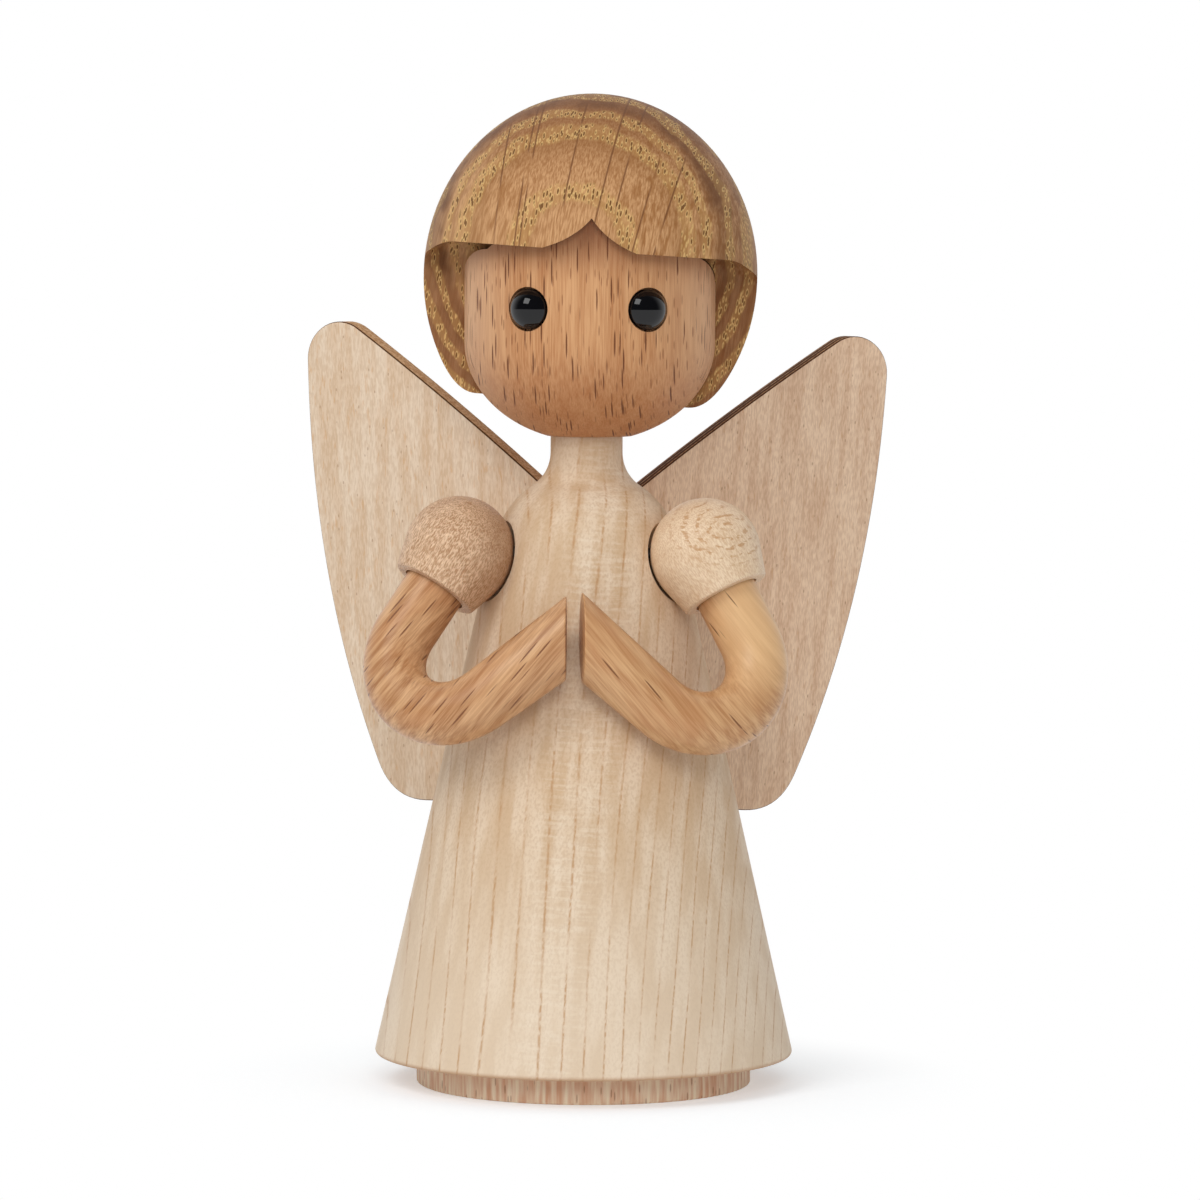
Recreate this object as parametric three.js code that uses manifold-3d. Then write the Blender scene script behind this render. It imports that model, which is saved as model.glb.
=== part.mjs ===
// A wooden angel that stands on a table: a turned dress on a foot disc, a head that turns on a
// dowel, a ball of hair, two arms that swing at the shoulders, and two plywood wings.
// Millimetres, +Z up. The face looks towards -Y. Left and right are as seen from the front.
import * as THREE from "three";
import { mergeVertices } from "three/addons/utils/BufferGeometryUtils.js";
import Module from "manifold-3d";

const wasm = await Module();
wasm.setup();

// Fits
const seatGap = 0.3; // glued faces and pockets
const turnGap = 0.15; // around a pin or dowel that a piece turns on
const socketGap = 0.6; // around a sleeve ball in its hollow

// Foot disc
const footRadius = 25.4;
const footHeight = 4.1;
const footEdge = 0.4;
const spigotRadius = 6;
const spigotLength = 8;

// Dress: a cone that runs into a ball-shaped shoulder and a slim neck
const hemRadius = 31.7;
const hemRound = 0.6;
const shoulderRadius = 14.5;
const shoulderHeight = 78.8;
const neckRadius = 5.45;
const neckFillet = 6;
const neckReach = 19.2; // from the middle of the shoulder's ball to the top of the neck

// Neck dowel
const neckDowelRadius = 3;
const neckDowelInDress = 9;
const neckDowelInHead = 9;

// Head: a straight wall over a round bowl, with its top corners sawn round
const headRadius = 18.95;
const headBowl = 15.1;
const headFlatRadius = 6.4;
const headWallTop = 34;
const headCornerHeight = 28;
const headCornerRound = 3.8;
const headCrownHalfWidth = 7.5;
const headCornerRoll = 1.8; // degrees, the right corner was sawn lower
const headSetRight = 0.4; // how far the face was turned off the dowel hole
const headTurn = 3; // degrees to its left at rest

// Eyes
const eyeRadius = 3;
const eyeDome = 1.8;
const eyeSink = 0.9;
const eyeStemRadius = 1.1;
const eyeStemLength = 4;
const eyeSpread = 9; // from the middle of the face
const eyeHeight = 19.6; // above the neck

// Hair: an egg with a flat bottom, a window for the face and a parting in the fringe
const hairRadius = 25.3;
const hairHalfHeight = 27.6;
const hairCentreHeight = 24.4; // above the neck
const hairSetBack = 3.5;
const hairSetRight = 0.4;
const hairRoll = 3.6; // degrees, the crown leans to the right
const hairBottom = -18.9; // from the middle of the egg
const hairBottomRound = 7.5; // height of the rounded lower edge
const fringeEdge = 3.9; // above the middle of the egg
const fringeCorner = 20.5; // half width of the level edge
const fringeBend = 4; // from there to where the edge turns down
const fringeDrop = 8; // how far it turns down past the sides of the egg
const partingHeight = 4.8;
const partingHalfWidth = 7;
const lockFace = -0.5; // depth of the locks' front faces behind the egg's middle
const lockCove = 2.5; // round between the locks and the fringe

// Sleeve balls, each drawn out into a short skirt around the arm
const sleeveRadius = 8.3;
const sleeveCut = 7; // from the ball's centre to its flat
const sleeveSkirt = 16; // degrees, how far the skirt closes in towards the flat
const sleeveLip = 0.5; // round at the skirt's edge
const sleevePocket = 2;
const sleeveSink = 2.3; // how far a ball reaches into the dress
const shoulderAngle = 65.6; // degrees from straight ahead, seen from above
const shoulderPivotRise = 2.3; // above the middle of the shoulder's ball

// Arms: straight, bent round, straight, and cut off by the palm
const armRadius = 4.7;
const armReach = 14.55; // ball centre to the start of the bend
const armBend = 9.9;
const armBendAngle = 154.7;
const forearm = 22;
const forearmFlare = 0.45; // how much the radius grows along the forearm
const palmGap = 2.4;
const handForward = 24; // depth of the palms' middle in front of the axis

// How each side was set by hand, in degrees: the arm's swing, splay and twist, the turn of the
// palm towards the front, and the wing's sweep to the back and outward tilt
const sides = {
  left: { side: -1, swing: -19.8, splay: 30.9, twist: -23.3, palmTurn: -3, wingSweep: 24.4, wingTilt: 1.5 },
  right: { side: 1, swing: -12.3, splay: 27.5, twist: -28.4, palmTurn: 9, wingSweep: 29.6, wingTilt: 4 },
};

// Pegs that hold the arms together
const armPegRadius = 1.8;
const armPegInArm = 6;
const armPegInSleeve = 3;
const shoulderPinRadius = 0.75;
const shoulderPinTip = 2.4; // from the ball's centre to the pin's end in it

// Wings: flat plates in slots in the back of the dress
const wingThickness = 3.5;
const wingInset = 4.2; // from the back of the dress to where the front faces would meet
const wingRoot = 2.7; // from there to the top inner corner, along the plate
const wingRootRise = 6.9; // of that corner above the middle of the shoulder's ball
const wingDrop = 44.4; // from that corner to the lower edge
const wingTipRise = 30.3; // from that corner to the tip
const wingTab = 2.2; // least depth of the lower end in its slot
const wingWidth = 49.9; // from where the front faces would meet
const wingTipRound = 5.8;
const wingLowerWidth = 36.1;
const wingLowerRound = 6;
const wingLean = 0.4; // how much the outer edge leans out above the lower corner

// Materials
const steel = { color: 0x9a9b9d, roughness: 0.35, metalness: 1 };
const woods = {
  dress: { color: 0xe2cda8, roughness: 0.55 },
  foot: { color: 0xa98465, roughness: 0.6 },
  face: { color: 0xc99b72, roughness: 0.55 },
  hair: { color: 0xa9824f, roughness: 0.55 },
  arm: { color: 0xc79a68, roughness: 0.5 },
  sleeveLeft: { color: 0xb08a60, roughness: 0.65 },
  sleeveRight: { color: 0xd2b38c, roughness: 0.6 },
  wing: { color: 0xd4b896, roughness: 0.6 },
  dowel: { color: 0xd9bd91, roughness: 0.6 },
  eye: { color: 0x0b0b0d, roughness: 0.08 },
};

const aroundSteps = 36;
const smallSteps = 16;
const ballSteps = [26, 16];
const degrees = THREE.MathUtils.degToRad;

// Shapes and solids

function toSolid(geometry) {
  const bare = geometry.clone();
  bare.deleteAttribute("normal");
  bare.deleteAttribute("uv");
  const merged = mergeVertices(bare, 1e-4);
  return new wasm.Manifold(
    new wasm.Mesh({
      numProp: 3,
      vertProperties: merged.attributes.position.array,
      triVerts: new Uint32Array(merged.index.array),
    }),
  );
}

function toMesh(name, solid, wood) {
  const { vertProperties, triVerts } = solid.getMesh();
  const geometry = new THREE.BufferGeometry();
  geometry.setAttribute("position", new THREE.BufferAttribute(vertProperties, 3));
  geometry.setIndex(new THREE.BufferAttribute(triVerts, 1));
  geometry.computeVertexNormals();
  const mesh = new THREE.Mesh(geometry, new THREE.MeshStandardMaterial({ metalness: 0, ...wood }));
  mesh.name = name;
  return mesh;
}

// A turned solid about Z from a profile of radius and height.
function turned(profile, steps = aroundSteps, divisions = 6) {
  const points = profile.getPoints(divisions);
  return new THREE.LatheGeometry(points, steps).rotateX(Math.PI / 2);
}

// A round pin along Z from one height to another.
function pin(radius, bottom, top, steps = smallSteps) {
  const length = top - bottom;
  return new THREE.CylinderGeometry(radius, radius, length, steps)
    .rotateX(Math.PI / 2)
    .translate(0, 0, bottom + length / 2);
}

// A plate from an outline of x and height, standing up, from one depth to another.
function plate(outline, front, back, divisions = 8) {
  const depth = back - front;
  return new THREE.ExtrudeGeometry(outline, { depth, bevelEnabled: false, curveSegments: divisions })
    .rotateX(Math.PI / 2)
    .translate(0, back, 0);
}

function moved(geometry, matrix) {
  return toSolid(geometry.clone().applyMatrix4(matrix));
}

// Foot disc

function footDisc() {
  const profile = new THREE.Path()
    .moveTo(0, 0)
    .lineTo(footRadius - footEdge, 0)
    .lineTo(footRadius, footEdge)
    .lineTo(footRadius, footHeight)
    .lineTo(spigotRadius, footHeight)
    .lineTo(spigotRadius, footHeight + spigotLength)
    .lineTo(0, footHeight + spigotLength);
  return toMesh("base_disc", toSolid(turned(profile)), woods.foot);
}

// Dress

const hemHeight = footHeight + seatGap;
const neckTop = shoulderHeight + neckReach;
const shoulderPivotHeight = shoulderHeight + shoulderPivotRise;
const wingRootTop = shoulderHeight + wingRootRise;
const wingBottom = wingRootTop - wingDrop;

// The cone touches the hem's round and the shoulder's ball, so its slope follows from them.
const hemCentre = { radius: hemRadius - hemRound, height: hemHeight + hemRound };
const coneRise = shoulderHeight - hemCentre.height;
const coneSlope =
  Math.acos((shoulderRadius - hemRound) / Math.hypot(hemCentre.radius, coneRise)) -
  Math.atan2(coneRise, hemCentre.radius);

function dressRadius(height) {
  const coneTop = shoulderHeight + shoulderRadius * Math.sin(coneSlope);
  if (height > coneTop) {
    return Math.sqrt(shoulderRadius ** 2 - (height - shoulderHeight) ** 2);
  }
  const touch = shoulderRadius * Math.cos(coneSlope);
  return touch + (coneTop - height) * Math.tan(coneSlope);
}

const shoulderOut = dressRadius(shoulderPivotHeight) + sleeveRadius - sleeveSink;
const shoulderSpread = shoulderOut * Math.sin(degrees(shoulderAngle));
const shoulderForward = shoulderOut * Math.cos(degrees(shoulderAngle));

function shoulderPlace(side) {
  return new THREE.Matrix4().makeTranslation(side * shoulderSpread, -shoulderForward, shoulderPivotHeight);
}

// The pin that both arms turn on lies across the dress, from one ball to the other.
function shoulderPin(radius, tip) {
  const reach = shoulderSpread - tip;
  return pin(radius, -reach, reach)
    .rotateY(Math.PI / 2)
    .translate(0, -shoulderForward, shoulderPivotHeight);
}

const wingMeet = dressRadius(wingRootTop) - wingInset;

function dressProfile() {
  const filletReach = neckRadius + neckFillet;
  const filletHeight = shoulderHeight + Math.sqrt((shoulderRadius + neckFillet) ** 2 - filletReach ** 2);
  const filletAngle = Math.atan2(filletHeight - shoulderHeight, filletReach);
  return new THREE.Path()
    .moveTo(0, hemHeight)
    .lineTo(hemCentre.radius, hemHeight)
    .absarc(hemCentre.radius, hemCentre.height, hemRound, -Math.PI / 2, coneSlope)
    .absarc(0, shoulderHeight, shoulderRadius, coneSlope, filletAngle)
    .absarc(filletReach, filletHeight, neckFillet, filletAngle + Math.PI, Math.PI, true)
    .lineTo(neckRadius, neckTop)
    .lineTo(0, neckTop);
}

function dressBody() {
  let solid = toSolid(turned(dressProfile(), aroundSteps, 5));
  const spigotHole = pin(spigotRadius + seatGap, 0, footHeight + spigotLength + seatGap, aroundSteps);
  const neckHole = pin(neckDowelRadius + seatGap, neckTop - neckDowelInDress - seatGap, neckTop + 1);
  const pinHole = shoulderPin(shoulderPinRadius + seatGap, 0);
  solid = solid.subtract(toSolid(spigotHole)).subtract(toSolid(neckHole)).subtract(toSolid(pinHole));
  for (const way of Object.values(sides)) {
    const hollow = new THREE.SphereGeometry(sleeveRadius + socketGap, ...ballSteps);
    solid = solid.subtract(moved(hollow, shoulderPlace(way.side)));
    solid = solid.subtract(moved(wingSlot(way), wingPlace(way)));
  }
  return toMesh("dress_body", solid, woods.dress);
}

// Head, hair and eyes, measured up from the neck

const headFloor = seatGap;
const headBowlCentre = headFloor + headBowl * Math.sqrt(1 - (headFlatRadius / headRadius) ** 2);

function headForm(extra) {
  const flat = Math.asin(headFlatRadius / headRadius);
  const profile = new THREE.Path()
    .moveTo(0, headFloor - extra)
    .lineTo(headFlatRadius, headFloor - extra)
    .absellipse(0, headBowlCentre, headRadius + extra, headBowl + extra, flat - Math.PI / 2, 0)
    .lineTo(headRadius + extra, headWallTop + extra)
    .lineTo(0, headWallTop + extra);
  const reach = headRadius + extra;
  const corner = headCornerHeight + extra;
  const round = headCornerRound + extra;
  const outline = new THREE.Shape()
    .moveTo(-reach - 1, -headBowl)
    .lineTo(reach + 1, -headBowl)
    .lineTo(reach + 1, corner - round)
    .lineTo(reach, corner - round)
    .absarc(reach - round, corner - round, round, 0, Math.PI / 2)
    .lineTo(headCrownHalfWidth + extra, headWallTop + extra + 1)
    .lineTo(-headCrownHalfWidth - extra, headWallTop + extra + 1)
    .absarc(round - reach, corner - round, round, Math.PI / 2, Math.PI)
    .lineTo(-reach - 1, corner - round);
  const saw = plate(outline, -reach - 1, reach + 1)
    .translate(0, 0, -headCornerHeight)
    .rotateY(degrees(headCornerRoll))
    .translate(0, 0, headCornerHeight);
  return toSolid(turned(profile, aroundSteps, 6)).intersect(toSolid(saw)).translate([headSetRight, 0, 0]);
}

function eyeMatrix(side) {
  const angle = Math.asin(eyeSpread / headRadius) * side;
  const seat = new THREE.Object3D();
  seat.position.set(headSetRight + headRadius * Math.sin(angle), -headRadius * Math.cos(angle), eyeHeight);
  seat.rotation.set(Math.PI / 2, 0, angle, "ZXY");
  seat.updateMatrix();
  return seat;
}

function headBlock() {
  const dowelHole = pin(neckDowelRadius + turnGap, -1, neckDowelInHead + seatGap);
  let solid = headForm(0).subtract(toSolid(dowelHole));
  for (const side of [-1, 1]) {
    const seat = pin(eyeRadius + seatGap, -eyeSink - seatGap, eyeRadius, 32);
    const stem = pin(eyeStemRadius + seatGap, -eyeSink - eyeStemLength - seatGap, 0, 16);
    const place = eyeMatrix(side).matrix;
    solid = solid.subtract(moved(seat, place)).subtract(moved(stem, place));
  }
  return toMesh("head_block", solid, woods.face);
}

function eye(name, side) {
  const domeRadius = (eyeRadius ** 2 + eyeDome ** 2) / (2 * eyeDome);
  const edge = Math.asin(eyeRadius / domeRadius);
  const profile = new THREE.Path()
    .moveTo(0, -eyeSink - eyeStemLength)
    .lineTo(eyeStemRadius, -eyeSink - eyeStemLength)
    .lineTo(eyeStemRadius, -eyeSink)
    .lineTo(eyeRadius, -eyeSink)
    .absarc(0, eyeDome - domeRadius, domeRadius, Math.PI / 2 - edge, Math.PI / 2);
  const mesh = toMesh(name, toSolid(turned(profile, smallSteps, 3)), woods.eye);
  const seat = eyeMatrix(side);
  mesh.position.copy(seat.position);
  mesh.rotation.copy(seat.rotation);
  return mesh;
}

// Hair, measured from the middle of the egg

function hairEgg() {
  const start = Math.asin((hairBottom + hairBottomRound) / hairHalfHeight);
  const edge = hairRadius * Math.cos(start);
  const drop = (hairHalfHeight / hairRadius) / Math.tan(start); // height over radius along the egg
  const flat = edge - hairBottomRound / -drop;
  const profile = new THREE.Path()
    .moveTo(0, hairBottom)
    .lineTo(flat - hairBottomRound / 2, hairBottom)
    .quadraticCurveTo(flat, hairBottom, edge, hairBottom + hairBottomRound)
    .absellipse(0, 0, hairRadius, hairHalfHeight, start, Math.PI / 2);
  return turned(profile, aroundSteps, 6);
}

// The outline of the window for the face, turned down at the sides of the egg.
function windowOutline(parting) {
  const reach = hairRadius + 2 * lockCove;
  const floor = hairBottom - 2 * lockCove;
  const bend = fringeCorner + fringeBend;
  const outline = new THREE.Shape()
    .moveTo(-reach, floor)
    .lineTo(reach, floor)
    .lineTo(reach, fringeEdge - fringeDrop)
    .quadraticCurveTo(bend, fringeEdge, fringeCorner, fringeEdge);
  if (parting) {
    const third = fringeEdge + partingHeight / 3;
    outline
      .lineTo(partingHalfWidth, fringeEdge)
      .quadraticCurveTo(partingHalfWidth / 3, third, 0, fringeEdge + partingHeight)
      .quadraticCurveTo(-partingHalfWidth / 3, third, -partingHalfWidth, fringeEdge);
  }
  return outline
    .lineTo(-fringeCorner, fringeEdge)
    .quadraticCurveTo(-bend, fringeEdge, -reach, fringeEdge - fringeDrop);
}

// What is cut away for the face: the fringe with its parting in front, and in front of the locks a
// cut with a rounded back, which leaves the cove.
function hairWindow() {
  const front = -hairRadius - lockCove;
  const back = lockFace - lockCove;
  const cove = new THREE.ExtrudeGeometry(windowOutline(false), {
    depth: back - front,
    bevelThickness: lockCove,
    bevelSize: lockCove,
    bevelOffset: -lockCove,
    bevelSegments: 5,
    curveSegments: 8,
  })
    .rotateX(Math.PI / 2)
    .translate(0, back, 0);
  return toSolid(plate(windowOutline(true), front, back)).add(toSolid(cove));
}

function hairCap(head) {
  const rolled = new THREE.Object3D();
  rolled.position.set(hairSetRight, hairSetBack, hairCentreHeight);
  rolled.rotation.y = degrees(hairRoll);
  rolled.updateMatrix();
  const cavity = headForm(seatGap).transform(new THREE.Matrix4().copy(rolled.matrix).invert().elements);
  const solid = toSolid(hairEgg()).subtract(hairWindow()).subtract(cavity);
  const mesh = toMesh("hair_cap", solid, woods.hair);
  mesh.position.copy(rolled.position);
  mesh.rotation.copy(rolled.rotation);
  head.add(mesh);
}

function headGroup() {
  const head = new THREE.Group();
  head.position.z = neckTop;
  head.rotation.z = degrees(headTurn);
  head.add(headBlock(), eye("eye_left", -1), eye("eye_right", 1));
  hairCap(head);
  return head;
}

// Arms, measured from the centre of the sleeve ball, reaching down along -Z

const armStart = sleeveCut - sleevePocket + seatGap;

class ArmLine extends THREE.Curve {
  constructor(side) {
    super();
    this.side = side;
    this.upper = armReach - armStart;
    this.bend = degrees(armBendAngle) * armBend;
  }

  getPoint(t) {
    const run = t * (this.upper + this.bend + forearm);
    const turn = THREE.MathUtils.clamp((run - this.upper) / armBend, 0, degrees(armBendAngle));
    const along = Math.min(run, this.upper);
    const past = Math.max(0, run - this.upper - this.bend);
    const inward = armBend * (1 - Math.cos(turn)) + past * Math.sin(turn);
    const down = armStart + along + armBend * Math.sin(turn) + past * Math.cos(turn);
    return new THREE.Vector3(-this.side * inward, 0, -down);
  }
}

// Widens a rod evenly along its forearm.
function flare(rod, line) {
  const wrist = line.getPoint(1);
  const along = line.getTangent(1);
  const points = rod.attributes.position;
  const point = new THREE.Vector3();
  for (let i = 0; i < points.count; i++) {
    point.fromBufferAttribute(points, i);
    const short = wrist.clone().sub(point).dot(along);
    const middle = wrist.clone().addScaledVector(along, -short);
    const lateral = point.distanceTo(middle);
    if (short < forearm && lateral < armRadius * 1.01) {
      const growth = (1 - short / forearm) * (forearmFlare / armRadius);
      point.addScaledVector(point.clone().sub(middle), growth);
      points.setXYZ(i, point.x, point.y, point.z);
    }
  }
}

function armBody(name, { side, palmTurn }, place) {
  const section = new THREE.Shape().absarc(0, 0, armRadius, 0, 2 * Math.PI);
  const line = new ArmLine(side);
  const rod = new THREE.ExtrudeGeometry(section, { extrudePath: line, steps: 28, curveSegments: 9 });
  flare(rod, line);
  const past = 8 * armBend; // room for all that lies past the palm
  const palm = new THREE.BoxGeometry(past, past, past)
    .translate(-side * past / 2, 0, 0)
    .rotateZ(side * degrees(palmTurn))
    .translate(side * palmGap / 2, -handForward, shoulderPivotHeight)
    .applyMatrix4(place.clone().invert());
  const pegHole = pin(armPegRadius + seatGap, -armStart - armPegInArm - seatGap, 0);
  const solid = toSolid(rod).subtract(toSolid(palm)).subtract(toSolid(pegHole));
  return toMesh(name, solid, woods.arm);
}

function sleeveProfile() {
  const slope = degrees(sleeveSkirt);
  const lipHeight = sleeveLip - sleeveCut;
  const lipCentre = (sleeveRadius - sleeveLip + lipHeight * Math.sin(slope)) / Math.cos(slope);
  return new THREE.Path()
    .moveTo(0, -sleeveCut)
    .lineTo(lipCentre, -sleeveCut)
    .absarc(lipCentre, lipHeight, sleeveLip, -Math.PI / 2, -slope)
    .absarc(0, 0, sleeveRadius, -slope, Math.PI / 2);
}

function sleeve(name, place, wood) {
  const pocket = pin(armRadius + seatGap, -sleeveCut - 1, sleevePocket - sleeveCut, 32);
  const pegHole = pin(armPegRadius + seatGap, -sleeveCut, armPegInSleeve - armStart + seatGap);
  const pinHole = shoulderPin(shoulderPinRadius + turnGap, shoulderPinTip - seatGap);
  const solid = toSolid(turned(sleeveProfile(), aroundSteps, 6))
    .subtract(toSolid(pocket))
    .subtract(toSolid(pegHole))
    .subtract(moved(pinHole, place.clone().invert()));
  return toMesh(name, solid, wood);
}

function armGroup(label) {
  const { side, swing, splay, twist } = sides[label];
  const group = new THREE.Group();
  group.position.setFromMatrixPosition(shoulderPlace(side));
  group.rotation.set(degrees(swing), -side * degrees(splay), -side * degrees(twist), "XYZ");
  group.updateMatrix();
  const wood = side < 0 ? woods.sleeveLeft : woods.sleeveRight;
  const peg = pin(armPegRadius, -armStart - armPegInArm, armPegInSleeve - armStart);
  group.add(
    sleeve("sleeve_" + label, group.matrix, wood),
    armBody("arm_" + label, sides[label], group.matrix),
    toMesh("arm_peg_" + label, toSolid(peg), woods.dowel),
  );
  return group;
}

// Wings, measured along the plate from where the front faces would meet

function wingRootBottom(sweep) {
  const reach = dressRadius(wingBottom) ** 2 - (wingMeet * Math.cos(sweep)) ** 2;
  return Math.sqrt(reach) - wingMeet * Math.sin(sweep) - wingTab;
}

// The top edge runs from the inner corner to touch the round of the tip.
const wingTip = { across: wingWidth - wingTipRound, height: wingRootTop + wingTipRise - wingTipRound };
const wingTopRun = Math.hypot(wingTip.across - wingRoot, wingTip.height - wingRootTop);
const wingRise =
  Math.atan2(wingTip.height - wingRootTop, wingTip.across - wingRoot) + Math.asin(wingTipRound / wingTopRun);

function wingOutline({ side, wingSweep }) {
  const corner = { across: wingLowerWidth + wingLean * wingLowerRound, height: wingBottom + wingLowerRound };
  const third = (wingTip.height - corner.height) / 3;
  const start = side > 0 ? 0 : Math.PI;
  const end = Math.PI / 2 + side * wingRise;
  return new THREE.Shape()
    .moveTo(side * wingRootBottom(degrees(wingSweep)), wingBottom)
    .lineTo(side * (wingLowerWidth - wingLowerRound), wingBottom)
    .quadraticCurveTo(side * wingLowerWidth, wingBottom, side * corner.across, corner.height)
    .bezierCurveTo(
      side * (corner.across + wingLean * third),
      corner.height + third,
      side * wingWidth,
      wingTip.height - third,
      side * wingWidth,
      wingTip.height,
    )
    .absarc(side * wingTip.across, wingTip.height, wingTipRound, start, end, side < 0)
    .lineTo(side * wingRoot, wingRootTop);
}

function wingSlot({ side, wingSweep }) {
  const out = dressRadius(wingBottom);
  const floor = wingBottom - seatGap;
  const topAt = (across) => wingRootTop + Math.tan(wingRise) * (across - wingRoot) + 2 * seatGap;
  const outline = new THREE.Shape()
    .moveTo(side * (wingRootBottom(degrees(wingSweep)) - seatGap), floor)
    .lineTo(side * out, floor)
    .lineTo(side * out, topAt(out))
    .lineTo(side * (wingRoot - seatGap), topAt(wingRoot));
  return plate(outline, -seatGap, wingThickness + seatGap);
}

// Swept back about where the front faces meet, and tilted about the top inner corner.
function wingPlace({ side, wingSweep, wingTilt }) {
  const pivot = new THREE.Vector3(side * wingRoot, 0, wingRootTop);
  return new THREE.Matrix4()
    .makeTranslation(0, wingMeet, 0)
    .multiply(new THREE.Matrix4().makeRotationZ(side * degrees(wingSweep)))
    .multiply(new THREE.Matrix4().makeTranslation(pivot))
    .multiply(new THREE.Matrix4().makeRotationY(side * degrees(wingTilt)))
    .multiply(new THREE.Matrix4().makeTranslation(pivot.negate()));
}

function wing(label) {
  const solid = toSolid(plate(wingOutline(sides[label]), 0, wingThickness, 10));
  const mesh = toMesh("wing_" + label, solid, woods.wing);
  mesh.applyMatrix4(wingPlace(sides[label]));
  return mesh;
}

// Assembly

const angel = new THREE.Group();
angel.name = "wooden_angel";
const labels = Object.keys(sides);
const crossPin = shoulderPin(shoulderPinRadius, shoulderPinTip);
const neckDowel = pin(neckDowelRadius, neckTop - neckDowelInDress, neckTop + neckDowelInHead);

angel.add(footDisc(), dressBody(), ...labels.map(wing));
angel.add(toMesh("neck_dowel", toSolid(neckDowel), woods.dowel), headGroup());
angel.add(toMesh("shoulder_pin", toSolid(crossPin), steel), ...labels.map(armGroup));

export default angel;
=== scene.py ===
"""The wooden angel's looks: turned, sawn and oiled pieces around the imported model.

Millimetres in the values, metres in the meshes. Left and right are as seen from the front.
"""

from math import acos, asin, atan2, cos, hypot, pi, radians, sin, sqrt, tan

import bmesh
import bpy
from mathutils import Matrix, Vector
from mathutils.geometry import interpolate_bezier


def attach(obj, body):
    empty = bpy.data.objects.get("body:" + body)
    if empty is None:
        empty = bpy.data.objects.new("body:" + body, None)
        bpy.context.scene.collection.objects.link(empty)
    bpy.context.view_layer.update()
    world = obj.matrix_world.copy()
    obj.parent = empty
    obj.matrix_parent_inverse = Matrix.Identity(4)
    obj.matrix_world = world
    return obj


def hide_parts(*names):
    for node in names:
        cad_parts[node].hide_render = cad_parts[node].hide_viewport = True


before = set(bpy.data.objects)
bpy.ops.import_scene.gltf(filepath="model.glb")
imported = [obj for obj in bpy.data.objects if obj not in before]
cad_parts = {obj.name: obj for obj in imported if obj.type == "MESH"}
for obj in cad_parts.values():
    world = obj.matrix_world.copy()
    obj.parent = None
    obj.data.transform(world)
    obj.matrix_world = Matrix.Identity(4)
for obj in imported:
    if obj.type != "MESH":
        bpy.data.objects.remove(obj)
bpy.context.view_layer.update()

# Foot disc
# A flat disc of brown beech, turned on a lathe and left a little rough.
# A spigot in its middle is glued into the underside of the dress.

mm = 0.001
foot_radius = 25.4
foot_height = 4.1
foot_edge = 0.4
spigot_radius = 6
spigot_length = 8


def arc(across, height, radius, start, end, steps=12):
    """Points of a profile along a round stretch, from one angle to another."""
    turns = [start + (end - start) * i / steps for i in range(steps + 1)]
    return [(across + radius * cos(turn), height + radius * sin(turn)) for turn in turns]


def turned(profile, steps=144):
    """A solid turned about Z from a profile of radius and height."""
    shape = bmesh.new()
    line = [shape.verts.new((across * mm, 0, height * mm)) for across, height in profile]
    edges = [shape.edges.new(pair) for pair in zip(line, line[1:])]
    bmesh.ops.spin(
        shape,
        geom=line + edges,
        cent=(0, 0, 0),
        axis=(0, 0, 1),
        angle=2 * pi,
        steps=steps,
        use_merge=True,
    )
    bmesh.ops.remove_doubles(shape, verts=shape.verts, dist=0.0001 * mm)
    bmesh.ops.recalc_face_normals(shape, faces=shape.faces)
    return shape


def add_piece(name, shape, body, slot, *finishes, sharp=35):
    """Makes a shape the visible piece for the CAD node of that name."""
    mesh = bpy.data.meshes.new(name + "_look")
    shape.to_mesh(mesh)
    shape.free()
    mesh.shade_smooth()
    mesh.set_sharp_from_angle(angle=radians(sharp))
    piece = bpy.data.objects.new(name + "_look", mesh)
    bpy.context.scene.collection.objects.link(piece)
    for finish in finishes:
        mesh.materials.append(finish.material)
    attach(piece, body)
    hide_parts(name)


def colour(red, green, blue):
    """A colour as it looks on a screen, from 0 to 255, made linear."""
    parts = [part / 255 for part in (red, green, blue)]
    return (*[p / 12.92 if p < 0.04045 else ((p + 0.055) / 1.055) ** 2.4 for p in parts], 1)


class Value:
    """A shader socket that takes part in sums."""

    def __init__(self, finish, socket):
        self.finish = finish
        self.socket = socket

    def math(self, operation, *others):
        return self.finish.node("Math", dict(enumerate((self, *others))), operation=operation)

    def __add__(self, other):
        return self.math("ADD", other)

    def __sub__(self, other):
        return self.math("SUBTRACT", other)

    def __rsub__(self, other):
        return self * -1 + other

    def __mul__(self, other):
        return self.math("MULTIPLY", other)

    __radd__ = __add__
    __rmul__ = __mul__


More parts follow.
